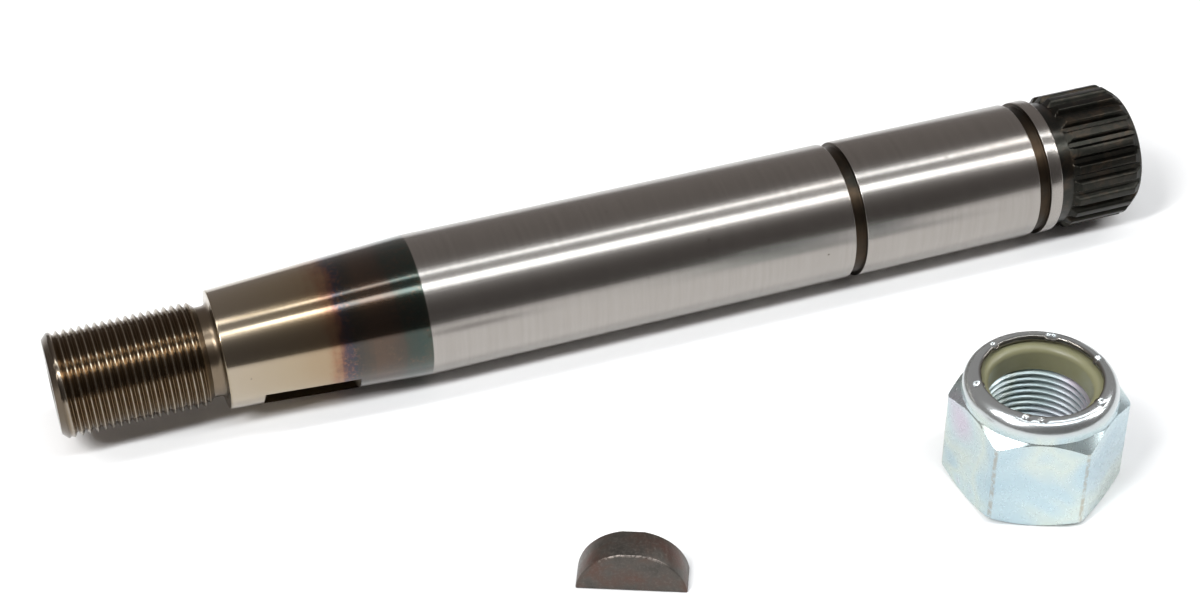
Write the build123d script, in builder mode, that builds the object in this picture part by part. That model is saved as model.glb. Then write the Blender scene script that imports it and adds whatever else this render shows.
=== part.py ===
"""Taper-nose drive shaft with its Woodruff key and nylon-insert lock nut.

Millimetres. The shaft's axis is X, with the threaded nose towards -X and the
spline towards +X. The origin is on that axis, in the middle of the main journal.
The shaft, the key and the nut all rest on one flat surface below the axis.
"""

from build123d import *
import math
import os

os.makedirs("parts", exist_ok=True)

INCH = 25.4

# Shaft diameters and depths
JOURNAL_R = 1.375 * INCH / 2
THREAD_R = 1.0 * INCH / 2
PITCH = INCH / 14
THREAD_DEPTH = 0.61343 * PITCH
RELIEF_R = 11.0
RING_GROOVE_R = 16.4
SPLINE_ROOT_R = 16.0
SPLINE_TEETH = 23
SPLINE_PHASE = 10.8

# Shaft stations, measured along X from the threaded end
NOSE_CHAMFER = 1.4
FIRST_CREST = 2.5
CRESTS = 18
THREAD_END = 34.3
TAPER_SMALL_END = 39.1
TAPER_LARGE_END = 86.7
JOURNAL_END = 197.55
REAR_JOURNAL_START = 200.65
REAR_JOURNAL_END = 248.8
LAND_START = 251.9
LAND_END = 255.2
SPLINE_START = 259.1
SPLINE_CHAMFER_START = 276.3
OVERALL = 11.0 * INCH - 0.4
TAPER_PER_MM = 1 / 16

# Small features
RELIEF_FILLET = 1.6
EDGE_BREAK = 0.3
END_FACE_R = 15.4
CENTRE_DRILL_R = 1.6
CENTRE_MOUTH_R = 3.6
CENTRE_DEPTH = 7.0
TOOTH_TOP = 1.9
TOOTH_FLANK = 30.0
CREST_FLAT = PITCH / 8
ROOT_FLAT = PITCH / 8
OVERCUT = 1.0

# Woodruff key 5/16 x 1, with the short flat on top of its arc, and its seat
KEY_WIDTH = 5 / 16 * INCH
KEY_CIRCLE_R = 1.0 * INCH / 2
KEY_DROP = 1 / 16 * INCH
KEY_HEIGHT = 0.428 * INCH
KEY_EDGE_BREAK = 0.2
KEYSEAT_DEPTH = 0.282 * INCH
KEYSEAT_CLEARANCE = 0.02
KEYSEAT_STATION = 58.3
KEYSEAT_ANGLE = 35.8

# Where the loose parts rest, from the origin
FLOOR_Z = -JOURNAL_R
KEY_X = -29.61
KEY_Y = -89.20
KEY_TURN = -23.5
NUT_X = 69.57
NUT_Y = -88.77
NUT_TURN = 35.92

# Lock nut, heights measured up from its seat
NUT_FLATS = 1.4375 * INCH
NUT_CORNER_ROUND = 2.0
SEAT_CHAMFER = 30.0
CORNER_CHAMFER = 39.0
SEAT_R = NUT_FLATS / 2 * 0.97
COLLAR_R = 17.9
COLLAR_FOOT = 25.1
COLLAR_SHOULDER = 27.2
NUT_HEIGHT = 30.2
CROWN_R = 14.4
LIP_INNER_R = 13.8
LIP_THICKNESS = 1.6
NUT_MINOR_R = THREAD_R - 0.54127 * PITCH
NUT_MAJOR_R = THREAD_R + 0.1
NUT_CRESTS = 11
NUT_FIRST_CREST = 1.9
NUT_CREST_FLAT = PITCH / 4
INSERT_SEAT = 21.5
INSERT_R = 16.3
INSERT_BORE_R = 11.9
INSERT_TOP = NUT_HEIGHT - LIP_THICKNESS
INSERT_MOUTH = 1.6
COUNTERSINK_R = 13.0

JOURNAL_MIDDLE = (TAPER_LARGE_END + JOURNAL_END) / 2


def station(s):
    """The X of a point that lies s from the threaded end."""
    return s - JOURNAL_MIDDLE


def taper_radius(s):
    """The radius of the taper at station s."""
    return JOURNAL_R - (TAPER_LARGE_END - s) * TAPER_PER_MM


# ---- spline: the space between two teeth, pointing outwards ------------
tooth_depth = JOURNAL_R - SPLINE_ROOT_R
flank_run = math.tan(math.radians(TOOTH_FLANK))
space_at_top = 2 * math.pi * JOURNAL_R / SPLINE_TEETH - TOOTH_TOP
space_at_root = space_at_top - 2 * tooth_depth * flank_run
space_at_mouth = space_at_top + 2 * OVERCUT * flank_run

with BuildSketch() as tooth_space:
    with BuildLine():
        Polyline(
            (SPLINE_ROOT_R, -space_at_root / 2),
            (JOURNAL_R + OVERCUT, -space_at_mouth / 2),
            (JOURNAL_R + OVERCUT, space_at_mouth / 2),
            (SPLINE_ROOT_R, space_at_root / 2),
            close=True,
        )
    make_face()

# ---- shaft: one turned profile, then the cuts ----------------------------
relief_corner = station(TAPER_SMALL_END) - RELIEF_FILLET
thread_foot = station(THREAD_END) + THREAD_R - RELIEF_R

with BuildPart() as shaft:
    with BuildSketch(Plane.XZ):
        with BuildLine():
            Polyline(
                (station(0), 0),
                (station(0), THREAD_R - NOSE_CHAMFER),
                (station(NOSE_CHAMFER), THREAD_R),
                (station(THREAD_END), THREAD_R),
                (thread_foot, RELIEF_R),
                (relief_corner, RELIEF_R),
            )
            CenterArc(
                (relief_corner, RELIEF_R + RELIEF_FILLET),
                RELIEF_FILLET,
                270,
                90,
            )
            Polyline(
                (station(TAPER_SMALL_END), RELIEF_R + RELIEF_FILLET),
                (station(TAPER_SMALL_END), taper_radius(TAPER_SMALL_END) - EDGE_BREAK),
                (station(TAPER_SMALL_END) + EDGE_BREAK, taper_radius(TAPER_SMALL_END + EDGE_BREAK)),
                (station(TAPER_LARGE_END), JOURNAL_R),
                (station(JOURNAL_END), JOURNAL_R),
                (station(JOURNAL_END), RING_GROOVE_R),
                (station(REAR_JOURNAL_START), RING_GROOVE_R),
                (station(REAR_JOURNAL_START), JOURNAL_R),
                (station(REAR_JOURNAL_END), JOURNAL_R),
                (station(REAR_JOURNAL_END), RING_GROOVE_R),
                (station(LAND_START), RING_GROOVE_R),
                (station(LAND_START), JOURNAL_R),
                (station(LAND_END), JOURNAL_R),
                (station(LAND_END) + tooth_depth / 2, SPLINE_ROOT_R),
                (station(SPLINE_START), SPLINE_ROOT_R),
                (station(SPLINE_START) + tooth_depth, JOURNAL_R),
                (station(SPLINE_CHAMFER_START), JOURNAL_R),
                (station(OVERALL), END_FACE_R),
                (station(OVERALL), 0),
                (station(0), 0),
            )
        make_face()
    revolve(axis=Axis.X)

    # Thread form: one vee between each pair of crests
    with BuildSketch(Plane.XZ):
        for gap in range(CRESTS - 1):
            middle = station(FIRST_CREST + (gap + 0.5) * PITCH)
            mouth = (PITCH - CREST_FLAT) / 2
            with BuildLine():
                Polyline(
                    (middle - mouth, THREAD_R),
                    (middle - ROOT_FLAT / 2, THREAD_R - THREAD_DEPTH),
                    (middle + ROOT_FLAT / 2, THREAD_R - THREAD_DEPTH),
                    (middle + mouth, THREAD_R),
                    (middle + mouth, THREAD_R + OVERCUT),
                    (middle - mouth, THREAD_R + OVERCUT),
                    close=True,
                )
            make_face()
    revolve(axis=Axis.X, mode=Mode.SUBTRACT)

    # Spline: one tooth space, cut SPLINE_TEETH times
    with BuildSketch(Plane.YZ.offset(station(SPLINE_START) - OVERCUT / 2)):
        with PolarLocations(0, SPLINE_TEETH, start_angle=180 - SPLINE_PHASE + 180 / SPLINE_TEETH):
            add(tooth_space.sketch)
    extrude(amount=OVERALL - SPLINE_START + OVERCUT, mode=Mode.SUBTRACT)

    # Keyseat: the plunge cut of a round cutter, below and in front of the axis
    seat_edge_r = math.sqrt(taper_radius(KEYSEAT_STATION) ** 2 - (KEY_WIDTH / 2) ** 2)
    cutter_r = seat_edge_r - KEYSEAT_DEPTH + KEY_CIRCLE_R
    tilt = math.radians(KEYSEAT_ANGLE)
    outward = Vector(0, -math.cos(tilt), -math.sin(tilt))
    cutter_axis = Vector(1, 0, 0).cross(outward)
    cutter_middle = Vector(station(KEYSEAT_STATION), 0, 0) + outward * cutter_r
    with BuildSketch(Plane(cutter_middle, x_dir=(1, 0, 0), z_dir=cutter_axis)):
        Circle(KEY_CIRCLE_R)
    extrude(amount=(KEY_WIDTH + KEYSEAT_CLEARANCE) / 2, both=True, mode=Mode.SUBTRACT)

    # Lathe centres in both end faces
    with BuildSketch(Plane.XZ):
        for end, inward in ((station(0), 1), (station(OVERALL), -1)):
            cone = CENTRE_MOUTH_R - CENTRE_DRILL_R
            cone_length = cone / math.tan(math.radians(30))
            with BuildLine():
                Polyline(
                    (end, 0),
                    (end, CENTRE_MOUTH_R),
                    (end + inward * cone_length, CENTRE_DRILL_R),
                    (end + inward * CENTRE_DEPTH, CENTRE_DRILL_R),
                    (end + inward * (CENTRE_DEPTH + CENTRE_DRILL_R / 2), 0),
                    close=True,
                )
            make_face()
    revolve(axis=Axis.X, mode=Mode.SUBTRACT)

shaft.part.label = "shaft"
export_step(shaft.part, "parts/shaft.step")

# ---- Woodruff key, standing on its flat ---------------------------------
key_plane = Plane((KEY_X, KEY_Y, FLOOR_Z)).rotated((0, 0, KEY_TURN))
key_side = Plane(key_plane.origin, x_dir=key_plane.x_dir, z_dir=-key_plane.y_dir)
key_half_length = math.sqrt(KEY_CIRCLE_R**2 - KEY_DROP**2)
key_half_flat = math.sqrt(KEY_CIRCLE_R**2 - (KEY_HEIGHT + KEY_DROP) ** 2)
shoulder_x = KEY_CIRCLE_R * math.cos(math.radians(45))
shoulder_z = shoulder_x - KEY_DROP

with BuildPart() as woodruff_key:
    with BuildSketch(key_side):
        with BuildLine():
            Line((-key_half_length, 0), (key_half_length, 0))
            ThreePointArc(
                (key_half_length, 0),
                (shoulder_x, shoulder_z),
                (key_half_flat, KEY_HEIGHT),
            )
            Line((key_half_flat, KEY_HEIGHT), (-key_half_flat, KEY_HEIGHT))
            ThreePointArc(
                (-key_half_flat, KEY_HEIGHT),
                (-shoulder_x, shoulder_z),
                (-key_half_length, 0),
            )
        make_face()
    extrude(amount=KEY_WIDTH / 2, both=True)
    resting_edges = 2
    rim = woodruff_key.edges().filter_by(key_side).sort_by(Axis.Z)[resting_edges:]
    chamfer(rim, KEY_EDGE_BREAK)

woodruff_key.part.label = "woodruff_key"
export_step(woodruff_key.part, "parts/woodruff_key.step")

# ---- lock nut body: a hexagon below a rolled-over collar ----------------
nut_plane = Plane((NUT_X, NUT_Y, FLOOR_Z)).rotated((0, 0, NUT_TURN))
nut_side = Plane(nut_plane.origin, x_dir=nut_plane.x_dir, z_dir=-nut_plane.y_dir)
nut_axis = Axis(nut_plane.origin, (0, 0, 1))
corner_r = NUT_FLATS / math.sqrt(3)
corner_top = COLLAR_FOOT - (corner_r - COLLAR_R) * math.tan(math.radians(CORNER_CHAMFER))
corner_foot = (corner_r - SEAT_R) * math.tan(math.radians(SEAT_CHAMFER))

with BuildPart() as lock_nut:
    with BuildSketch(nut_plane) as lock_nut_hexagon:
        RegularPolygon(radius=corner_r, side_count=6)
        fillet(lock_nut_hexagon.vertices(), NUT_CORNER_ROUND)
    extrude(amount=NUT_HEIGHT)

    # The turned outside: seat chamfer, corner chamfer, collar and crown
    with BuildSketch(nut_side):
        with BuildLine():
            Polyline(
                (0, 0),
                (SEAT_R, 0),
                (corner_r, corner_foot),
                (corner_r, corner_top),
                (COLLAR_R, COLLAR_FOOT),
                (COLLAR_R, COLLAR_SHOULDER),
            )
            EllipticalCenterArc(
                (CROWN_R, COLLAR_SHOULDER),
                COLLAR_R - CROWN_R,
                NUT_HEIGHT - COLLAR_SHOULDER,
                start_angle=0,
                arc_size=90,
            )
            Polyline((CROWN_R, NUT_HEIGHT), (0, NUT_HEIGHT), (0, 0))
        make_face()
    revolve(axis=nut_axis, mode=Mode.INTERSECT)

    # The bore: countersink, threads, insert seat and the lip's opening
    with BuildSketch(nut_side):
        with BuildLine():
            Polyline(
                (0, -OVERCUT),
                (COUNTERSINK_R + OVERCUT, -OVERCUT),
                (NUT_MINOR_R, COUNTERSINK_R - NUT_MINOR_R),
                (NUT_MINOR_R, INSERT_SEAT),
                (INSERT_R, INSERT_SEAT),
                (INSERT_R, INSERT_TOP),
                (LIP_INNER_R, INSERT_TOP),
                (LIP_INNER_R, NUT_HEIGHT + OVERCUT),
                (0, NUT_HEIGHT + OVERCUT),
                close=True,
            )
        make_face()
        for gap in range(-1, NUT_CRESTS):
            middle = NUT_FIRST_CREST + (gap + 0.5) * PITCH
            mouth = (PITCH - NUT_CREST_FLAT) / 2
            with BuildLine():
                Polyline(
                    (NUT_MINOR_R - OVERCUT, middle - mouth),
                    (NUT_MINOR_R, middle - mouth),
                    (NUT_MAJOR_R, middle - ROOT_FLAT / 2),
                    (NUT_MAJOR_R, middle + ROOT_FLAT / 2),
                    (NUT_MINOR_R, middle + mouth),
                    (NUT_MINOR_R - OVERCUT, middle + mouth),
                    close=True,
                )
            make_face()
    revolve(axis=nut_axis, mode=Mode.SUBTRACT)

lock_nut.part.label = "lock_nut"
export_step(lock_nut.part, "parts/lock_nut.step")

# ---- nylon insert, held under the lip -----------------------------------
with BuildPart() as lock_nut_insert:
    with BuildSketch(nut_side):
        with BuildLine():
            Polyline(
                (INSERT_BORE_R + INSERT_MOUTH, INSERT_TOP),
                (INSERT_R, INSERT_TOP),
                (INSERT_R, INSERT_SEAT),
                (INSERT_BORE_R, INSERT_SEAT),
                (INSERT_BORE_R, INSERT_TOP - INSERT_MOUTH),
            )
            CenterArc(
                (INSERT_BORE_R + INSERT_MOUTH, INSERT_TOP - INSERT_MOUTH),
                INSERT_MOUTH,
                180,
                -90,
            )
        make_face()
    revolve(axis=nut_axis)

lock_nut_insert.part.label = "lock_nut_insert"
export_step(lock_nut_insert.part, "parts/lock_nut_insert.step")
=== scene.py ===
import math

import bmesh
import bpy
from mathutils import Matrix, Vector


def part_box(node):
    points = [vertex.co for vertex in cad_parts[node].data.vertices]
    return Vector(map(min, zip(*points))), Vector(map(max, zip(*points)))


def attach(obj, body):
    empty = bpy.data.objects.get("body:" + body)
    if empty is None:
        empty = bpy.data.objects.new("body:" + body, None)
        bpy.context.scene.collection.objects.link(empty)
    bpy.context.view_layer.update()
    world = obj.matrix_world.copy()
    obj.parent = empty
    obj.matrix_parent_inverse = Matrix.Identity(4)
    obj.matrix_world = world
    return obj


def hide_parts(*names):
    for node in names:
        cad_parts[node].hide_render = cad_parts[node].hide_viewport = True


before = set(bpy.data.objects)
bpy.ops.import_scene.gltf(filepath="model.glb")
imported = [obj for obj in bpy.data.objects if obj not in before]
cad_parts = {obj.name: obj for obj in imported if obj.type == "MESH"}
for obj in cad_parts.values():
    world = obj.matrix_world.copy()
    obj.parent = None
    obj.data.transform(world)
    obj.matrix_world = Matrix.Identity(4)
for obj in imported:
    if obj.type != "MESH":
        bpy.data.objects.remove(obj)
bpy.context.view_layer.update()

MM = 0.001
INCH = 25.4
FULL_TURN = 2 * math.pi

# ---------------------------------------------------------------- driving sizes
# Millimetres. Stations run along the shaft from its threaded end.
shaft_low, shaft_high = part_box("shaft")
NOSE_X = shaft_low[0] / MM
OVERALL = (shaft_high[0] - shaft_low[0]) / MM
JOURNAL_R = shaft_high[2] / MM
FLOOR_Z = shaft_low[2]

PITCH = INCH / 14
THREAD_R = INCH / 2
THREAD_ROOT_R = THREAD_R - 0.61343 * PITCH
FIRST_CREST = 2.5
NOSE_CHAMFER = 1.4
THREAD_END = 34.3
RELIEF_R = 11.0
RELIEF_FILLET = 1.6
TAPER_SMALL_END = 39.1
TAPER_LARGE_END = 86.7
TAPER_PER_MM = 1 / 16
TAPER_SMALL_R = JOURNAL_R - (TAPER_LARGE_END - TAPER_SMALL_END) * TAPER_PER_MM
JOURNAL_END = 197.55
REAR_JOURNAL_START = 200.65
REAR_JOURNAL_END = 248.8
LAND_START = 251.9
LAND_END = 255.2
SPLINE_START = 259.1
SPLINE_CHAMFER_START = 276.3
RING_GROOVE_R = 16.4
SPLINE_ROOT_R = 16.0
END_FACE_R = 15.4
TEETH = 23
TOOTH_PHASE = 10.8
CENTRE_HOLE = ((7.8, 0.0), (7.0, 1.6), (3.5, 1.6), (0.1, 3.55), (0.0, 3.7))

KEY_WIDTH = 5 / 16 * INCH
KEY_CIRCLE_R = INCH / 2
KEY_DROP = 1 / 16 * INCH
KEY_HEIGHT = 0.428 * INCH
KEYSEAT_DEPTH = 0.282 * INCH
KEYSEAT_STATION = 58.3
KEYSEAT_ANGLE = 35.8
KEY_TURN = -23.5

NUT_FLATS = 1.4375 * INCH
NUT_TURN = 35.92
NUT_CORNER_ROUND = 2.0
SEAT_CHAMFER = 30
CORNER_CHAMFER = 39
SEAT_R = NUT_FLATS / 2 * 0.97
COLLAR_R = 17.9
COLLAR_FOOT = 25.1
COLLAR_SHOULDER = 26.5
NUT_HEIGHT = 30.2
CROWN_R = 14.4
LIP_INNER_R = 13.8
LIP_THICKNESS = 1.6
STAKE_DEPTH = 0.75
STAKES = (
    (15.9, 14.8), (20.9, 14.8), (75.7, 14.8), (135.1, 15.3),
    (194.5, 14.9), (208.0, 14.9), (267.8, 15.2), (327.0, 15.0),
)
NUT_MINOR_R = THREAD_R - 0.54127 * PITCH
NUT_MAJOR_R = THREAD_R + 0.1
NUT_FIRST_CREST = 1.9
INSERT_SEAT = 21.5
INSERT_R = 16.3
INSERT_BORE_R = 11.9
INSERT_GAP = 0.02
UNDER_LIP = 0.55
INSERT_TOP = NUT_HEIGHT - LIP_THICKNESS
INSERT_MOUTH = 1.6
COUNTERSINK_R = 13.0

# Where the camera stands, how it is turned, and the lamps' tint
CAMERA_PLACE = (-0.1523, -0.4479, 0.3714)
CAMERA_AZIMUTH = -20.16
CAMERA_ELEVATION = 39.36
LENS = 72.25
COOL = (0.90, 0.96, 1.0)


# ---------------------------------------------------------------- mesh helpers
def middle_of(node):
    """The centre of a CAD node's box, on the surface it stands on, in millimetres."""
    low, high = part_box(node)
    return (low[0] + high[0]) / 2 / MM, (low[1] + high[1]) / 2 / MM, low[2] / MM


def rounded(outline, radius=0.12, steps=3):
    """An open outline with each inner corner turned on a small arc."""
    points = [Vector(outline[0])]
    for before, corner, after in zip(outline, outline[1:], outline[2:]):
        before, corner, after = Vector(before), Vector(corner), Vector(after)
        back = before - corner
        ahead = after - corner
        reach = min(radius, back.length * 0.45, ahead.length * 0.45)
        start = corner + back.normalized() * reach
        end = corner + ahead.normalized() * reach
        for i in range(steps + 1):
            t = i / steps
            points.append(start.lerp(corner, t).lerp(corner.lerp(end, t), t))
    points.append(Vector(outline[-1]))
    return points


def finish_mesh(name, verts, faces, material, sharp=40):
    """A closed mesh object in metres, welded, with its outsides outwards."""
    mesh = bpy.data.meshes.new(name)
    mesh.from_pydata([Vector(v) * MM for v in verts], [], faces)
    bm = bmesh.new()
    bm.from_mesh(mesh)
    bmesh.ops.remove_doubles(bm, verts=bm.verts, dist=2e-7)
    bmesh.ops.dissolve_degenerate(bm, edges=bm.edges, dist=1e-7)
    bmesh.ops.recalc_face_normals(bm, faces=bm.faces)
    bm.to_mesh(mesh)
    bm.free()
    mesh.shade_smooth()
    mesh.set_sharp_from_angle(angle=math.radians(sharp))
    mesh.materials.append(material)
    piece = bpy.data.objects.new(name, mesh)
    bpy.context.scene.collection.objects.link(piece)
    return piece


def skin(rows, helix=None, closed=False):
    """Vertices and quads over rows of points, one point for each angle.

    helix is (first row, last row, rows to the row that the last column meets):
    between those rows the skin is a thread, and closes on itself a pitch away.
    """
    columns = len(rows[0])
    verts = [p for row in rows for p in row]
    faces = []
    for i in range(len(rows) if closed else len(rows) - 1):
        upper = (i + 1) % len(rows)
        for j in range(columns - 1):
            faces.append((
                i * columns + j,
                i * columns + j + 1,
                upper * columns + j + 1,
                upper * columns + j,
            ))
        here, there = i, upper
        if helix and helix[0] <= i < helix[1]:
            here = i + helix[2]
            there = here + 1
            if here < helix[0] or there > helix[1]:
                continue
        faces.append((
            i * columns + columns - 1,
            here * columns,
            there * columns,
            upper * columns + columns - 1,
        ))
    return verts, faces


def thread_rows(low, high, first_crest, shares):
    """Where the rows of a helix start, from a pitch below low to above high.
    The shares are the places within one pitch at which the form has a corner."""
    start = low - PITCH - 0.01
    turn = math.floor((start - first_crest) / PITCH) - 1
    rows = []
    while not rows or rows[-1] < high + 0.05:
        rows += [first_crest + (turn + share) * PITCH for share in shares]
        turn += 1
    return rows


def vee(at, crest_flat, root_flat):
    """How deep a thread form is, 0 on the crest to 1 at the root, at a share of a
    pitch away from a crest's middle."""
    away = abs((at + 0.5) % 1.0 - 0.5)
    flank = 0.5 - crest_flat / 2 - root_flat / 2
    return min(1.0, max(0.0, (away - crest_flat / 2) / flank))


# ---------------------------------------------------------------- the shaft
def tooth_columns():
    """(angle from -Y towards +Z in radians, share of the tooth's height) for
    every column round the shaft, so that the teeth's edges fall on columns."""
    pitch = 360 / TEETH
    form = (
        (-5.9, 0.0), (-5.6, 0.08), (-4.4, 0.5), (-3.35, 0.93), (-2.95, 1.0), (-1.1, 1.0),
        (1.1, 1.0), (2.95, 1.0), (3.35, 0.93), (4.4, 0.5), (5.6, 0.08), (5.9, 0.0),
        (pitch / 2, 0.0),
    )
    columns = []
    for tooth in range(TEETH):
        for offset, height in form:
            columns.append((math.radians(TOOTH_PHASE + tooth * pitch + offset), height))
    return columns


def shaft_outline():
    """The turned outline from the relief to the foot of the teeth."""
    relief_corner = TAPER_SMALL_END - RELIEF_FILLET
    fillet = [
        (
            relief_corner + RELIEF_FILLET * math.sin(a),
            RELIEF_R + RELIEF_FILLET * (1 - math.cos(a)),
        )
        for a in (math.radians(15 * k) for k in range(1, 7))
    ]
    turned = [(THREAD_END + THREAD_R - RELIEF_R + 0.1, RELIEF_R), (relief_corner, RELIEF_R)] + fillet
    turned += rounded([
        fillet[-1],
        (TAPER_SMALL_END, TAPER_SMALL_R),
        (TAPER_LARGE_END, JOURNAL_R),
        (JOURNAL_END, JOURNAL_R),
        (JOURNAL_END, RING_GROOVE_R),
        (REAR_JOURNAL_START, RING_GROOVE_R),
        (REAR_JOURNAL_START, JOURNAL_R),
        (REAR_JOURNAL_END, JOURNAL_R),
        (REAR_JOURNAL_END, RING_GROOVE_R),
        (LAND_START, RING_GROOVE_R),
        (LAND_START, JOURNAL_R),
        (LAND_END, JOURNAL_R),
        (LAND_END + 0.7, SPLINE_ROOT_R),
        (SPLINE_START - 0.2, SPLINE_ROOT_R),
    ], 0.25)[1:]
    return turned


def make_shaft(material):
    """Centre hole, chamfered thread, relief, taper, journals, grooves, teeth."""
    columns = tooth_columns()

    def ring(s, radius_at):
        points = []
        for angle, height in columns:
            r = radius_at(angle, height)
            points.append((NOSE_X + s, -r * math.cos(angle), r * math.sin(angle)))
        return points

    rows = [
        ring(depth, lambda a, h, r=r: r)
        for depth, r in (*CENTRE_HOLE, (0.0, THREAD_R - NOSE_CHAMFER - 0.1))
    ]

    # The thread's rows lean: each follows the helix once round
    low, high = 0.0, THREAD_END + THREAD_R - RELIEF_R
    shares = (-0.065, -0.04, 0.04, 0.065, 0.2, 0.32, 0.44, 0.47, 0.53, 0.56, 0.68, 0.8)
    first = len(rows)
    for at in thread_rows(low, high, FIRST_CREST, shares):
        row = []
        for angle, _ in columns:
            lead = 1 - (angle - columns[0][0]) / FULL_TURN
            s = min(high, max(low, at + PITCH * lead))
            depth = vee((s - FIRST_CREST) / PITCH + angle / FULL_TURN, 0.11, 0.08)
            depth *= min(1.0, max(0.0, (s - NOSE_CHAMFER) / PITCH))
            r = THREAD_R - (THREAD_R - THREAD_ROOT_R) * depth
            r = min(r, THREAD_R - NOSE_CHAMFER + s, THREAD_R - (s - THREAD_END))
            row.append((NOSE_X + s, -r * math.cos(angle), r * math.sin(angle)))
        rows.append(row)
    helix = (first, len(rows) - 1, -len(shares))

    for s, r in shaft_outline():
        rows.append(ring(s, lambda a, h, r=r: r))

    # Teeth: full height between two chamfers
    depth = JOURNAL_R - SPLINE_ROOT_R
    chamfer = OVERALL - SPLINE_CHAMFER_START
    stations = [SPLINE_START + depth * k / 8 for k in range(9)]
    stations += [SPLINE_CHAMFER_START + chamfer * k / 10 for k in range(11)]
    for s in stations:
        limit = min(
            JOURNAL_R,
            SPLINE_ROOT_R + s - SPLINE_START,
            END_FACE_R + (OVERALL - s) * (JOURNAL_R - END_FACE_R) / chamfer,
        )
        rows.append(ring(s, lambda a, h, limit=limit: min(SPLINE_ROOT_R + depth * h, limit)))
    for depth, r in reversed(CENTRE_HOLE):
        rows.append(ring(OVERALL - depth, lambda a, h, r=r: r))
    verts, faces = skin(rows, helix)
    return finish_mesh("drive_shaft", verts, faces, material)


def cut_keyseat(shaft):
    """Takes the keyseat's plunge cut out of the shaft."""
    edge_r = math.sqrt(
        (JOURNAL_R - (TAPER_LARGE_END - KEYSEAT_STATION) * TAPER_PER_MM) ** 2 - (KEY_WIDTH / 2) ** 2
    )
    tilt = math.radians(KEYSEAT_ANGLE)
    outward = Vector((0, -math.cos(tilt), -math.sin(tilt)))
    side = Vector((1, 0, 0)).cross(outward)
    middle = Vector((NOSE_X + KEYSEAT_STATION, 0, 0)) + outward * (edge_r - KEYSEAT_DEPTH + KEY_CIRCLE_R)
    steps = 96
    rows = []
    for offset, r in ((-1, 0), (-1, 1), (1, 1), (1, 0)):
        rows.append([
            middle
            + side * offset * (KEY_WIDTH + 0.02) / 2
            + (Vector((1, 0, 0)) * math.cos(a) + outward * math.sin(a)) * KEY_CIRCLE_R * r
            for a in (FULL_TURN * k / steps for k in range(steps))
        ])
    verts, faces = skin(rows)
    cutter = finish_mesh("keyseat_cutter", verts, faces, shaft.data.materials[0])
    cut = shaft.modifiers.new("keyseat", "BOOLEAN")
    cut.operation = "DIFFERENCE"
    cut.solver = "EXACT"
    cut.object = cutter
    depsgraph = bpy.context.evaluated_depsgraph_get()
    mesh = bpy.data.meshes.new_from_object(shaft.evaluated_get(depsgraph))
    shaft.modifiers.clear()
    shaft.data = mesh
    mesh.shade_smooth()
    mesh.set_sharp_from_angle(angle=math.radians(40))
    bpy.data.objects.remove(cutter)


# ---------------------------------------------------------------- the lock nut
def hexagon_columns(flat_steps=44, corner_steps=8):
    """(angle, radius) round a hexagon with rounded corners, evenly along each flat."""
    apothem = NUT_FLATS / 2
    core = (apothem - NUT_CORNER_ROUND) / math.cos(math.pi / 6)
    edge = math.atan2(
        NUT_CORNER_ROUND * math.sin(math.pi / 6),
        core + NUT_CORNER_ROUND * math.cos(math.pi / 6),
    )
    columns = []
    for k in range(6):
        corner = k * math.pi / 3
        for i in range(corner_steps):
            turn = math.radians(-30 + 60 * (i + 0.5) / corner_steps)
            x = core + NUT_CORNER_ROUND * math.cos(turn)
            y = NUT_CORNER_ROUND * math.sin(turn)
            columns.append(((corner + math.atan2(y, x)) % FULL_TURN, math.hypot(x, y)))
        for i in range(flat_steps + 1):
            turn = edge + (math.pi / 3 - 2 * edge) * i / flat_steps
            columns.append((corner + turn, apothem / math.cos(turn - math.pi / 6)))
    return sorted(columns)


def bezier(start, corner, end, steps):
    """Points of a curve that leaves start towards corner and comes in to end."""
    start, corner, end = Vector(start), Vector(corner), Vector(end)
    points = []
    for i in range(steps + 1):
        t = i / steps
        points.append(start.lerp(corner, t).lerp(corner.lerp(end, t), t))
    return points


def eased(value, low, high):
    """0 below low, 1 above high, and a smooth rise between them."""
    t = min(1.0, max(0.0, (value - low) / (high - low)))
    return t * t * (3 - 2 * t)


def stake_mark(angle, r):
    """How deep the punched stakes in the rolled lip are at a place: 0 to 1."""
    deepest = 0.0
    for degrees, middle in STAKES:
        away = ((math.degrees(angle) - degrees + 180) % 360 - 180) / 2.7
        deepest = max(deepest, math.exp(-away ** 4 - ((r - middle) / 0.75) ** 4))
    return deepest


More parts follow.
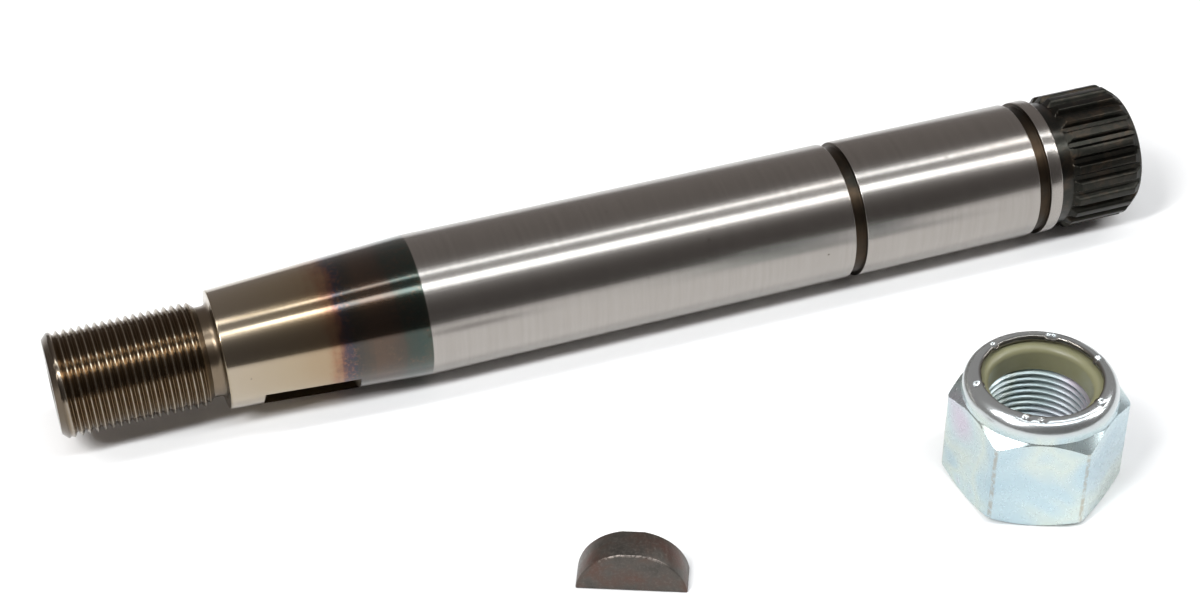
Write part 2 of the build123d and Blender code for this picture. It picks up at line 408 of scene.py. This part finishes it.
def make_nut(material):
    """Hexagon, seat and corner chamfers, collar, rolled lip, insert seat, thread."""
    cx, cy, cz = middle_of("lock_nut")
    turn = math.radians(NUT_TURN)
    columns = hexagon_columns()
    foot_slope = math.tan(math.radians(SEAT_CHAMFER))
    corner_slope = math.tan(math.radians(CORNER_CHAMFER))

    def place(angle, r, z):
        return (cx + r * math.cos(angle + turn), cy + r * math.sin(angle + turn), cz + z)

    def side(angle, h):
        """The outside and the lip at one angle, from the seat up and over."""
        foot = (h - SEAT_R) * foot_slope
        edge = Vector((h, COLLAR_FOOT - (h - COLLAR_R) * corner_slope))
        collar = Vector((COLLAR_R, COLLAR_FOOT))
        at_corner = eased(h, 18.4, 18.8)
        soft_edge = 1.8 + (0.14 - 1.8) * at_corner
        soft_foot = 1.3 + (0.3 - 1.3) * at_corner
        length = (collar - edge).length
        points = [
            (COUNTERSINK_R + 0.1, 0.0),
            (SEAT_R - 0.5, 0.0),
            (SEAT_R - 0.1, 0.02),
            (SEAT_R + 0.15, 0.16),
            (h - 0.12, foot),
            (h - 0.03, foot + 0.1),
            (h, foot + 0.3),
            (h, foot + 1.2),
            (h, edge.y - 4.0),
        ]
        points += bezier(
            (h, edge.y - soft_edge),
            edge,
            edge.lerp(collar, min(0.45, soft_edge / length / 2)),
            5,
        )
        points += bezier(
            collar.lerp(edge, min(0.45, soft_foot / length / 2)),
            collar,
            (COLLAR_R, COLLAR_FOOT + soft_foot),
            5,
        )
        for k in range(19):
            a = math.radians(5 * k)
            r = CROWN_R + (COLLAR_R - CROWN_R) * math.cos(a)
            z = COLLAR_SHOULDER + (NUT_HEIGHT - COLLAR_SHOULDER) * math.sin(a)
            points.append((r, z - STAKE_DEPTH * stake_mark(angle, r)))
        wave = 0.06 * math.sin(5 * angle + 1) + 0.05 * math.sin(11 * angle) + 0.03 * math.sin(23 * angle)
        inner = LIP_INNER_R + wave
        nearest = stake_mark(angle, 14.8)
        for k in range(1, 7):
            a = math.radians(15 * k)
            r = CROWN_R - (CROWN_R - inner) * math.sin(a)
            z = NUT_HEIGHT - 0.75 * (1 - math.cos(a))
            points.append((r - 0.35 * nearest * math.sin(a), z - STAKE_DEPTH * stake_mark(angle, r)))
        points += [
            (inner - 0.3 * nearest, INSERT_TOP + 0.45),
            (inner + 0.1 - 0.1 * nearest, INSERT_TOP + 0.15),
            (inner + 0.5, INSERT_TOP),
            (INSERT_R, INSERT_TOP),
            (INSERT_R, INSERT_SEAT),
            (NUT_MAJOR_R + 0.3, INSERT_SEAT),
        ]
        return points

    sides = [side(angle, h) for angle, h in columns]
    outside = [
        [place(angle, *sides[j][k]) for j, (angle, _) in enumerate(columns)]
        for k in range(len(sides[0]))
    ]

    # The bore's thread, from the countersink up to the insert's seat
    low, high = 0.0, INSERT_SEAT
    shares = (-0.125, -0.1, 0.0, 0.1, 0.125, 0.22, 0.35, 0.44, 0.5, 0.56, 0.65, 0.78)
    bore = []
    for at in thread_rows(low, high, NUT_FIRST_CREST, shares):
        row = []
        for angle, _ in columns:
            lead = (angle - columns[0][0]) / FULL_TURN
            z = min(high, max(low, at + PITCH * lead))
            share = (z - NUT_FIRST_CREST) / PITCH - angle / FULL_TURN
            r = NUT_MINOR_R + (NUT_MAJOR_R - NUT_MINOR_R) * vee(share, 0.25, 0.1)
            r = max(r, COUNTERSINK_R - z, COUNTERSINK_R - 0.4 - (high - z))
            row.append(place(angle, r, z))
        bore.append(row)
    verts, faces = skin(bore + outside[::-1], (0, len(bore) - 1, len(shares)), closed=True)
    return finish_mesh("lock_nut_body", verts, faces, material)


def make_insert(material):
    """The nylon ring, with a rounded mouth under the lip."""
    cx, cy, cz = middle_of("lock_nut_insert")
    base = cz - INSERT_SEAT
    columns = 192
    outline = [Vector((INSERT_BORE_R, INSERT_TOP - UNDER_LIP - INSERT_MOUTH))]
    for k in range(1, 13):
        a = math.radians(90 * k / 12)
        outline.append(Vector((
            INSERT_BORE_R + INSERT_MOUTH * (1 - math.cos(a)),
            INSERT_TOP - UNDER_LIP - INSERT_MOUTH * (1 - math.sin(a)),
        )))
    outline += rounded([
        outline[-1],
        (INSERT_R - INSERT_GAP, INSERT_TOP - UNDER_LIP),
        (INSERT_R - INSERT_GAP, INSERT_SEAT + INSERT_GAP),
        (INSERT_BORE_R, INSERT_SEAT + INSERT_GAP),
        (INSERT_BORE_R, INSERT_TOP - INSERT_MOUTH - 1.2),
    ], 0.3)[1:]
    rows = []
    for r, z in outline:
        rows.append([
            (cx + r * math.cos(a), cy + r * math.sin(a), base + z)
            for a in (FULL_TURN * j / columns for j in range(columns))
        ])
    verts, faces = skin(rows, closed=True)
    return finish_mesh("nylon_insert", verts, faces, material, sharp=50)


# ---------------------------------------------------------------- the key
def make_key(material, edge_highlight_material):
    """Half-round key with a short flat on top, its long edges rounded off small; the rounds take the
    second material, which carries a painted highlight.
    """
    cx, cy, cz = middle_of("woodruff_key")
    turn = Matrix.Rotation(math.radians(KEY_TURN), 3, "Z")
    low = math.asin(KEY_DROP / KEY_CIRCLE_R)
    high = math.asin((KEY_HEIGHT + KEY_DROP) / KEY_CIRCLE_R)
    steps = 32
    right = []
    for k in range(steps + 1):
        a = low + (high - low) * k / steps
        right.append((KEY_CIRCLE_R * math.cos(a), KEY_CIRCLE_R * math.sin(a) - KEY_DROP))
    left = [(-x, z) for x, z in reversed(right)]
    bm = bmesh.new()
    front = [bm.verts.new((x, -KEY_WIDTH / 2, z)) for x, z in right + left]
    back = [bm.verts.new((x, KEY_WIDTH / 2, z)) for x, z in right + left]
    bm.faces.new(front)
    bm.faces.new(back[::-1])
    for k in range(len(front)):
        n = (k + 1) % len(front)
        bm.faces.new((front[n], front[k], back[k], back[n]))
    bmesh.ops.recalc_face_normals(bm, faces=bm.faces)
    hard = [e for e in bm.edges if e.calc_face_angle(0) > math.radians(30)]
    made = bmesh.ops.bevel(
        bm, geom=hard, offset=0.35, segments=3, profile=0.5, affect="EDGES", clamp_overlap=True
    )
    for f in made["faces"]:
        f.material_index = 1
    for v in bm.verts:
        v.co = (turn @ v.co + Vector((cx, cy, cz))) * MM
    mesh = bpy.data.meshes.new("half_round_key")
    bm.to_mesh(mesh)
    bm.free()
    mesh.shade_smooth()
    mesh.set_sharp_from_angle(angle=math.radians(35))
    mesh.materials.append(material)
    mesh.materials.append(edge_highlight_material)
    piece = bpy.data.objects.new("half_round_key", mesh)
    bpy.context.scene.collection.objects.link(piece)
    return piece


# ---------------------------------------------------------------- node helpers
class Surface:
    """A material's node tree, with short calls for the nodes it is built from."""

    def __init__(self, name):
        self.material = bpy.data.materials.new(name)
        self.material.use_nodes = True
        self.tree = self.material.node_tree
        self.shader = self.tree.nodes["Principled BSDF"]
        self.where = self.add("ShaderNodeTexCoord").outputs["Object"]

    def add(self, kind, **values):
        node = self.tree.nodes.new(kind)
        for name, value in values.items():
            setattr(node, name, value)
        return node

    def put(self, source, socket):
        """Links a socket, or sets a plain value."""
        if isinstance(source, bpy.types.NodeSocket):
            self.tree.links.new(source, socket)
        else:
            socket.default_value = source

    def math(self, operation, a, b=0.0):
        node = self.add("ShaderNodeMath", operation=operation)
        self.put(a, node.inputs[0])
        self.put(b, node.inputs[1])
        return node.outputs[0]

    def between(self, value, low, high, to_low=0.0, to_high=1.0, smooth=True):
        node = self.add("ShaderNodeMapRange", interpolation_type="SMOOTHSTEP" if smooth else "LINEAR")
        for socket, number in zip(node.inputs[:5], (value, low, high, to_low, to_high)):
            self.put(number, socket)
        return node.outputs[0]

    def ramp(self, value, stops):
        node = self.add("ShaderNodeValToRGB")
        elements = node.color_ramp.elements
        while len(elements) < len(stops):
            elements.new(0.5)
        for element, (at, colour) in zip(elements, stops):
            element.position = at
            element.color = (*colour, 1.0)
        self.put(value, node.inputs[0])
        return node.outputs[0]

    def mix(self, share, a, b):
        node = self.add("ShaderNodeMix", data_type="RGBA")
        self.put(share, node.inputs[0])
        for socket, colour in ((node.inputs[6], a), (node.inputs[7], b)):
            self.put(colour if isinstance(colour, bpy.types.NodeSocket) else (*colour, 1.0), socket)
        return node.outputs[2]

    def noise(self, place, scale, detail=4.0, roughness=0.5, distortion=0.0):
        node = self.add("ShaderNodeTexNoise")
        self.put(place, node.inputs["Vector"])
        for name, number in (
            ("Scale", scale), ("Detail", detail), ("Roughness", roughness), ("Distortion", distortion),
        ):
            node.inputs[name].default_value = number
        return node.outputs["Fac"]

    def stretched(self, place, scale):
        node = self.add("ShaderNodeMapping")
        self.put(place, node.inputs["Vector"])
        node.inputs["Scale"].default_value = scale
        return node.outputs[0]

    def split(self, place):
        node = self.add("ShaderNodeSeparateXYZ")
        self.put(place, node.inputs[0])
        return node.outputs

    def join(self, x, y, z):
        node = self.add("ShaderNodeCombineXYZ")
        for socket, value in zip(node.inputs, (x, y, z)):
            self.put(value, socket)
        return node.outputs[0]

    def bump(self, height, distance, strength=1.0):
        node = self.add("ShaderNodeBump")
        node.inputs["Distance"].default_value = distance
        node.inputs["Strength"].default_value = strength
        self.put(height, node.inputs["Height"])
        self.put(node.outputs[0], self.shader.inputs["Normal"])


def colour_of(red, green, blue):
    """A shader colour from a display colour of 0 to 255."""
    linear = []
    for channel in (red, green, blue):
        c = channel / 255
        linear.append(c / 12.92 if c <= 0.04045 else ((c + 0.055) / 1.055) ** 2.4)
    return tuple(linear)


# ---------------------------------------------------------------- materials
def shaft_steel():
    """Ground steel with a heat-tinted taper and oiled black grooves and teeth."""
    s = Surface("shaft_steel")
    x, y, z = s.split(s.where)
    along = s.math("SUBTRACT", s.math("DIVIDE", x, MM), NOSE_X)
    squares = s.math("ADD", s.math("MULTIPLY", y, y), s.math("MULTIPLY", z, z))
    radius = s.math("DIVIDE", s.math("SQRT", squares), MM)

    # Places stretched round the shaft, so that marks run with the grinding
    ringed = s.join(along, s.math("DIVIDE", y, MM * 12), s.math("DIVIDE", z, MM * 12))
    fine_rings = s.noise(s.stretched(ringed, (6.0, 0.8, 0.8)), 1.0, 3.0, 0.6)
    broad_rings = s.noise(s.stretched(ringed, (0.9, 0.5, 0.5)), 1.0, 4.0, 0.6)
    cloud = s.noise(s.where, 90.0, 5.0, 0.6)
    speck = s.noise(s.where, 700.0, 2.0, 0.5)
    grains = s.noise(s.where, 1100.0, 3.0, 0.7)
    blotch = s.noise(s.where, 210.0, 5.0, 0.7, 0.6)

    # Heat tint along the taper, its edges uneven round the shaft
    drift = s.math("MULTIPLY", s.math("SUBTRACT", cloud, 0.5), 5.0)
    drift = s.math("ADD", drift, s.math("MULTIPLY", s.math("SUBTRACT", broad_rings, 0.5), 3.0))
    drift = s.math("ADD", drift, s.math("MULTIPLY", s.math("SUBTRACT", blotch, 0.5), 4.0))
    tint_at = s.math("ADD", along, drift)
    span = s.between(tint_at, 38.0, 90.0, 0.0, 1.0, smooth=False)
    tint = s.ramp(span, [
        (0.00, colour_of(156, 144, 126)),
        (0.30, colour_of(150, 134, 109)),
        (0.46, colour_of(145, 124, 95)),
        (0.515, colour_of(134, 100, 70)),
        (0.55, colour_of(96, 58, 44)),
        (0.565, colour_of(54, 34, 48)),
        (0.585, colour_of(30, 30, 44)),
        (0.61, colour_of(36, 32, 29)),
        (0.65, colour_of(50, 39, 25)),
        (0.69, colour_of(66, 45, 26)),
        (0.76, colour_of(63, 43, 25)),
        (0.81, colour_of(50, 38, 24)),
        (0.84, colour_of(28, 40, 29)),
        (0.90, colour_of(18, 43, 35)),
        (0.96, colour_of(38, 52, 39)),
        (1.00, colour_of(32, 46, 34)),
    ])
    in_tint = s.between(tint_at, 64.0, 69.0)
    flecks = s.math("MULTIPLY", s.between(grains, 0.5, 0.68, 0.0, 0.7), s.between(blotch, 0.42, 0.6))
    tint = s.mix(s.math("MULTIPLY", flecks, in_tint), tint, colour_of(88, 62, 39))
    at_line = s.math("MULTIPLY", s.between(tint_at, 62.0, 65.5), s.between(tint_at, 68.0, 71.0, 1.0, 0.0))
    sparks = s.math("MULTIPLY", s.between(grains, 0.48, 0.66, 0.0, 0.4), at_line)
    tint = s.mix(sparks, tint, colour_of(140, 88, 58))
    haze = s.math("MULTIPLY", s.between(blotch, 0.35, 0.75, 0.0, 0.5), in_tint)
    tint = s.mix(haze, tint, colour_of(50, 40, 27))
    ground = s.ramp(broad_rings, [(0.3, colour_of(152, 147, 142)), (0.7, colour_of(159, 154, 149))])
    tinted = s.between(along, TAPER_LARGE_END + 0.9, TAPER_LARGE_END + 1.2)
    body = s.mix(tinted, tint, ground)

    # The thread: warm yellow-brown, with painted shade darkening its roots; the relief is bare metal
    depth = s.between(radius, THREAD_ROOT_R, THREAD_R)
    # Painted shade: the colour darkens from the crests down towards the thread's roots
    bronze_and_root_shade = s.ramp(depth, [
        (0.00, colour_of(104, 90, 72)),
        (0.30, colour_of(120, 104, 83)),
        (0.92, colour_of(138, 124, 106)),
        (0.98, colour_of(146, 138, 126)),
    ])
    bronze_and_root_shade = s.mix(s.between(blotch, 0.4, 0.75, 0.0, 0.5), bronze_and_root_shade, colour_of(104, 82, 56))
    bare = s.between(along, NOSE_CHAMFER, NOSE_CHAMFER + 1.2, 1.0, 0.0)
    bronze_and_root_shade = s.mix(bare, bronze_and_root_shade, colour_of(94, 84, 72))
    threaded = s.between(along, THREAD_END + 0.2, THREAD_END + 1.2, 1.0, 0.0)
    in_relief = s.between(along, TAPER_SMALL_END - 0.5, TAPER_SMALL_END, 1.0, 0.0)
    body = s.mix(in_relief, body, colour_of(118, 105, 89))
    body = s.mix(threaded, body, bronze_and_root_shade)

    # Dark pits here and there on the bright steel
    pits = s.math("MULTIPLY", s.between(speck, 0.72, 0.78), s.between(blotch, 0.5, 0.6))
    body = s.mix(pits, body, colour_of(64, 48, 36))

    # Black oxide: the grooves, the undercut and the teeth
    in_groove = s.between(radius, JOURNAL_R - 0.16, JOURNAL_R - 0.06, 1.0, 0.0)
    past_taper = s.between(along, JOURNAL_END - 4, JOURNAL_END - 3)
    at_spline = s.between(along, LAND_END - 0.05, LAND_END + 0.1)
    black_share = s.math("MAXIMUM", s.math("MULTIPLY", in_groove, past_taper), at_spline)
    black = s.ramp(blotch, [
        (0.30, colour_of(37, 38, 34)),
        (0.50, colour_of(48, 47, 43)),
        (0.70, colour_of(70, 60, 50)),
    ])
    rusty = s.between(along, LAND_START, LAND_START + 0.1, 1.0, 0.0)
    rusty = s.math("MULTIPLY", rusty, s.between(cloud, 0.3, 0.6))
    black = s.mix(rusty, black, colour_of(64, 53, 42))
    body = s.mix(black_share, body, black)

    # Inside the keyseat: milled, dull and brown
    skin_r = s.between(along, TAPER_SMALL_END, TAPER_LARGE_END, TAPER_SMALL_R, JOURNAL_R, smooth=False)
    below = s.between(s.math("SUBTRACT", skin_r, radius), 0.15, 0.3)
    in_keyseat = s.math("MULTIPLY", below, s.between(along, TAPER_SMALL_END + 1, TAPER_SMALL_END + 2))
    before_journal = s.between(along, TAPER_LARGE_END, TAPER_LARGE_END + 1, 1.0, 0.0)
    in_keyseat = s.math("MULTIPLY", in_keyseat, before_journal)
    body = s.mix(in_keyseat, body, colour_of(98, 87, 70))
    s.put(body, s.shader.inputs["Base Color"])

    s.shader.inputs["Metallic"].default_value = 1.0
    s.shader.inputs["Anisotropic"].default_value = 0.7
    s.shader.inputs["Anisotropic Rotation"].default_value = 0.25
    turned = s.add("ShaderNodeTangent", direction_type="RADIAL", axis="X")
    s.put(turned.outputs[0], s.shader.inputs["Tangent"])
    on_journal = s.between(along, TAPER_LARGE_END, TAPER_LARGE_END + 1.0)
    rough = s.between(on_journal, 0.0, 1.0, 0.205, 0.265)
    rough = s.math("ADD", rough, s.between(fine_rings, 0.25, 0.75, -0.004, 0.004))
    rough = s.math("ADD", rough, s.math("MULTIPLY", black_share, 0.20))
    before_teeth = s.between(along, SPLINE_START - 0.4, SPLINE_START - 0.1, 1.0, 0.0)
    in_undercut = s.math("MULTIPLY", s.between(along, LAND_END + 0.6, LAND_END + 0.8), before_teeth)
    rough = s.math("SUBTRACT", rough, s.math("MULTIPLY", in_undercut, 0.13))
    rough = s.math("ADD", rough, s.math("MULTIPLY", in_relief, 0.03))
    plain_relief = s.math("MULTIPLY", in_relief, s.between(along, THREAD_END, THREAD_END + 1.0))
    rough = s.math("ADD", rough, s.math("MULTIPLY", plain_relief, 0.10))
    rough = s.math("ADD", rough, s.math("MULTIPLY", in_keyseat, 0.35))
    s.put(rough, s.shader.inputs["Roughness"])

    # The oxide film's own clear shine
    filmed = s.between(along, TAPER_SMALL_END + 0.2, TAPER_SMALL_END + 0.6, 0.0, 0.65)
    filmed = s.math("MULTIPLY", filmed, s.math("SUBTRACT", 1.0, tinted))
    filmed = s.math("MULTIPLY", filmed, s.math("SUBTRACT", 1.0, in_keyseat))
    filmed = s.math("ADD", filmed, s.math("MULTIPLY", in_undercut, 0.12))
    s.put(filmed, s.shader.inputs["Coat Weight"])
    s.shader.inputs["Coat Roughness"].default_value = 0.13
    s.shader.inputs["Coat IOR"].default_value = 1.7
    height = s.math("ADD", s.math("MULTIPLY", fine_rings, 0.12), s.math("MULTIPLY", speck, 0.4))
    height = s.math("ADD", height, s.math("MULTIPLY", black_share, s.math("MULTIPLY", grains, 8.0)))
    s.bump(height, 0.000003, 0.5)
    return s.material


def nut_zinc():
    """Bright zinc plate: pale blue with a faint rainbow, worn smooth on the rolled crown."""
    s = Surface("nut_zinc")
    cx, cy, cz = middle_of("lock_nut")
    x, y, z = (s.math("DIVIDE", part, MM) for part in s.split(s.where))
    x = s.math("SUBTRACT", x, cx)
    y = s.math("SUBTRACT", y, cy)
    z = s.math("SUBTRACT", z, cz)
    radius = s.math("SQRT", s.math("ADD", s.math("MULTIPLY", x, x), s.math("MULTIPLY", y, y)))
    cloud = s.noise(s.where, 45.0, 2.0, 0.45, 0.5)
    blotch = s.noise(s.where, 150.0, 3.0, 0.5)
    mottle = s.noise(s.where, 900.0, 3.0, 0.6)
    film = s.ramp(cloud, [
        (0.28, colour_of(168, 189, 198)),
        (0.40, colour_of(180, 198, 204)),
        (0.50, colour_of(196, 206, 200)),
        (0.57, colour_of(188, 203, 205)),
        (0.66, colour_of(194, 186, 199)),
        (0.76, colour_of(180, 195, 204)),
    ])
    body = s.mix(s.between(blotch, 0.45, 0.8, 0.0, 0.2), film, colour_of(178, 190, 198))

    # Brown traces on the upright corners; dark brown painted shade on and under the lip's inner edge; the
    # crown a cooler grey
    on_corner = s.math("MULTIPLY", s.between(radius, 20.66, 20.76), s.between(mottle, 0.35, 0.6, 0.1, 0.5))
    body = s.mix(on_corner, body, colour_of(150, 128, 100))
    on_crown = s.between(z, COLLAR_SHOULDER - 0.4, COLLAR_SHOULDER + 1.4)
    body = s.mix(on_crown, body, colour_of(192, 197, 198))
    # Painted shade under the rolled lip: its inner edge and underside are darkened to brown
    near_edge = s.between(radius, LIP_INNER_R + 0.2, LIP_INNER_R + 0.9, 1.0, 0.0)
    lip_shade = s.math("MULTIPLY", near_edge, s.between(z, INSERT_TOP - 0.2, INSERT_TOP))
    body = s.mix(s.math("MULTIPLY", lip_shade, 0.8), body, colour_of(92, 80, 66))
    s.put(body, s.shader.inputs["Base Color"])
    s.shader.inputs["Metallic"].default_value = 0.92
    rough = s.between(mottle, 0.3, 0.7, 0.272, 0.28)
    rough = s.math("SUBTRACT", rough, s.math("MULTIPLY", on_crown, 0.05))
    in_bore = s.between(radius, 13.2, 13.4, 1.0, 0.0)
    rough = s.math("ADD", rough, s.math("MULTIPLY", in_bore, 0.08))
    s.put(rough, s.shader.inputs["Roughness"])
    s.bump(s.math("ADD", blotch, s.math("MULTIPLY", mottle, 0.01)), 0.00001, 0.5)
    return s.material


def insert_nylon():
    """Natural nylon: olive-cream and slightly see-through."""
    s = Surface("insert_nylon")
    cloud = s.noise(s.where, 120.0, 3.0, 0.5)
    body = s.mix(cloud, colour_of(138, 137, 108), colour_of(124, 122, 93))
    s.put(body, s.shader.inputs["Base Color"])
    s.shader.inputs["Roughness"].default_value = 0.38
    s.shader.inputs["Subsurface Weight"].default_value = 0.2
    s.shader.inputs["Subsurface Radius"].default_value = (0.002, 0.002, 0.001)
    s.shader.inputs["Subsurface Scale"].default_value = 1.0
    s.bump(cloud, 0.00004, 0.4)
    return s.material


def key_surface(name, bright):
    """Grey-brown scale with rusty patches; bright is how strongly a painted highlight lightens its top
    edges.
    """
    s = Surface(name)
    patch = s.noise(s.where, 170.0, 4.0, 0.55, 0.3)
    grain = s.noise(s.where, 1500.0, 3.0, 0.6)
    body = s.ramp(patch, [
        (0.30, colour_of(68, 65, 61)),
        (0.46, colour_of(81, 76, 71)),
        (0.60, colour_of(86, 71, 64)),
        (0.74, colour_of(90, 64, 56)),
    ])
    body = s.mix(s.between(grain, 0.45, 0.75, 0.0, 0.4), body, colour_of(112, 105, 99))
    height = s.math("DIVIDE", s.math("SUBTRACT", s.split(s.where)[2], FLOOR_Z), MM)
    # Painted highlight: a lighter colour on the top edges, 8 to 9.8 mm above the floor
    painted_top_highlight = s.math("MULTIPLY", s.between(height, 8.0, 9.8), s.between(grain, 0.38, 0.58))
    body = s.mix(s.math("MULTIPLY", painted_top_highlight, bright), body, colour_of(140, 131, 124))
    s.put(body, s.shader.inputs["Base Color"])
    s.shader.inputs["Metallic"].default_value = 0.75
    s.put(s.between(grain, 0.3, 0.7, 0.36, 0.52), s.shader.inputs["Roughness"])
    s.bump(s.math("ADD", patch, grain), 0.00006, 0.6)
    return s.material


# ---------------------------------------------------------------- the pieces
shaft = make_shaft(shaft_steel())
cut_keyseat(shaft)
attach(shaft, "shaft")
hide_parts("shaft")

nut = make_nut(nut_zinc())
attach(nut, "nut")
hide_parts("lock_nut")

insert = make_insert(insert_nylon())
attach(insert, "nut")
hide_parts("lock_nut_insert")

key = make_key(key_surface("key_scale", 0.0), key_surface("key_painted_edge_highlight", 1.0))
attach(key, "key")
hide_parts("woodruff_key")


# ---------------------------------------------------------------- floor and light
def make_floor():
    """A wide, pale, matt floor under the parts."""
    half = 4.0
    mesh = bpy.data.meshes.new("floor")
    corners = [(-half, -half), (half, -half), (half, half), (-half, half)]
    mesh.from_pydata([(x, y, FLOOR_Z) for x, y in corners], [], [(0, 1, 2, 3)])
    s = Surface("floor_white")
    s.shader.inputs["Base Color"].default_value = (0.9, 0.9, 0.9, 1.0)
    s.shader.inputs["Roughness"].default_value = 0.9
    s.shader.inputs["Specular IOR Level"].default_value = 0.1
    mesh.materials.append(s.material)
    floor = bpy.data.objects.new("floor", mesh)
    bpy.context.scene.collection.objects.link(floor)


def make_light(name, place, along, across, strength, colour=(1.0, 1.0, 1.0)):
    """A soft box aimed at the parts: along is its length, nearly along the shaft,
    across its width and strength its radiance."""
    light = bpy.data.lights.new(name, "AREA")
    light.shape = "RECTANGLE"
    light.size = along
    light.size_y = across
    light.energy = strength * along * across * math.pi
    light.color = colour
    box = bpy.data.objects.new(name, light)
    box.location = place
    back = Vector(place).normalized()
    side = Vector((0, 1, 0)).cross(back).normalized()
    up = back.cross(side)
    box.rotation_euler = Matrix((side, up, back)).transposed().to_euler()
    box.visible_camera = False
    bpy.context.scene.collection.objects.link(box)


def make_room():
    """A white backdrop for the camera, and in the reflections a room that is
    darker in front of the shaft than behind it."""
    world = bpy.data.worlds.new("room")
    bpy.context.scene.world = world
    world.use_nodes = True
    tree = world.node_tree
    tree.nodes.clear()
    out = tree.nodes.new("ShaderNodeOutputWorld")
    pick = tree.nodes.new("ShaderNodeMixShader")
    path = tree.nodes.new("ShaderNodeLightPath")
    place = tree.nodes.new("ShaderNodeTexCoord")
    split = tree.nodes.new("ShaderNodeSeparateXYZ")
    shade = tree.nodes.new("ShaderNodeMapRange")
    mirrored = tree.nodes.new("ShaderNodeBackground")
    plain = tree.nodes.new("ShaderNodeBackground")
    for socket, number in zip(shade.inputs[1:5], (-0.95, 0.9, 0.11, 0.33)):
        socket.default_value = number
    plain.inputs["Color"].default_value = (1.0, 1.0, 1.0, 1.0)
    mirrored.inputs["Color"].default_value = (1.0, 0.93, 0.9, 1.0)
    tree.links.new(place.outputs["Generated"], split.inputs[0])
    tree.links.new(split.outputs["Y"], shade.inputs["Value"])
    tree.links.new(shade.outputs[0], mirrored.inputs["Strength"])
    tree.links.new(mirrored.outputs[0], pick.inputs[1])
    tree.links.new(plain.outputs[0], pick.inputs[2])
    tree.links.new(path.outputs["Is Camera Ray"], pick.inputs[0])
    tree.links.new(pick.outputs[0], out.inputs[0])


make_floor()
make_light("overhead_box", (0.20, -0.07, 1.10), 0.90, 0.065, 9.0, COOL)
make_light("front_box", (0.16, -0.505, 1.05), 0.96, 0.14, 9.5, COOL)
for side, x, share in (("left", -0.80, 1.2), ("right", 1.20, 0.72)):
    make_light(side + "_overhead_box", (x, 0.02, 1.05), 0.90, 0.14, 12.0 * share)
    make_light(side + "_front_box", (x, -0.50, 0.95), 0.55, 0.07, 78.0 * share)
make_room()

# ---------------------------------------------------------------- camera
lens = bpy.data.cameras.new("camera")
lens.sensor_width = 36.0
lens.lens = LENS
lens.shift_x = -0.0587
lens.shift_y = 0.0074
lens.clip_start = 0.01
camera = bpy.data.objects.new("camera", lens)
camera.location = CAMERA_PLACE
camera.rotation_euler = (math.radians(90 - CAMERA_ELEVATION), 0, math.radians(CAMERA_AZIMUTH))
bpy.context.scene.collection.objects.link(camera)
bpy.context.scene.camera = camera
bpy.context.scene.view_settings.view_transform = "Standard"
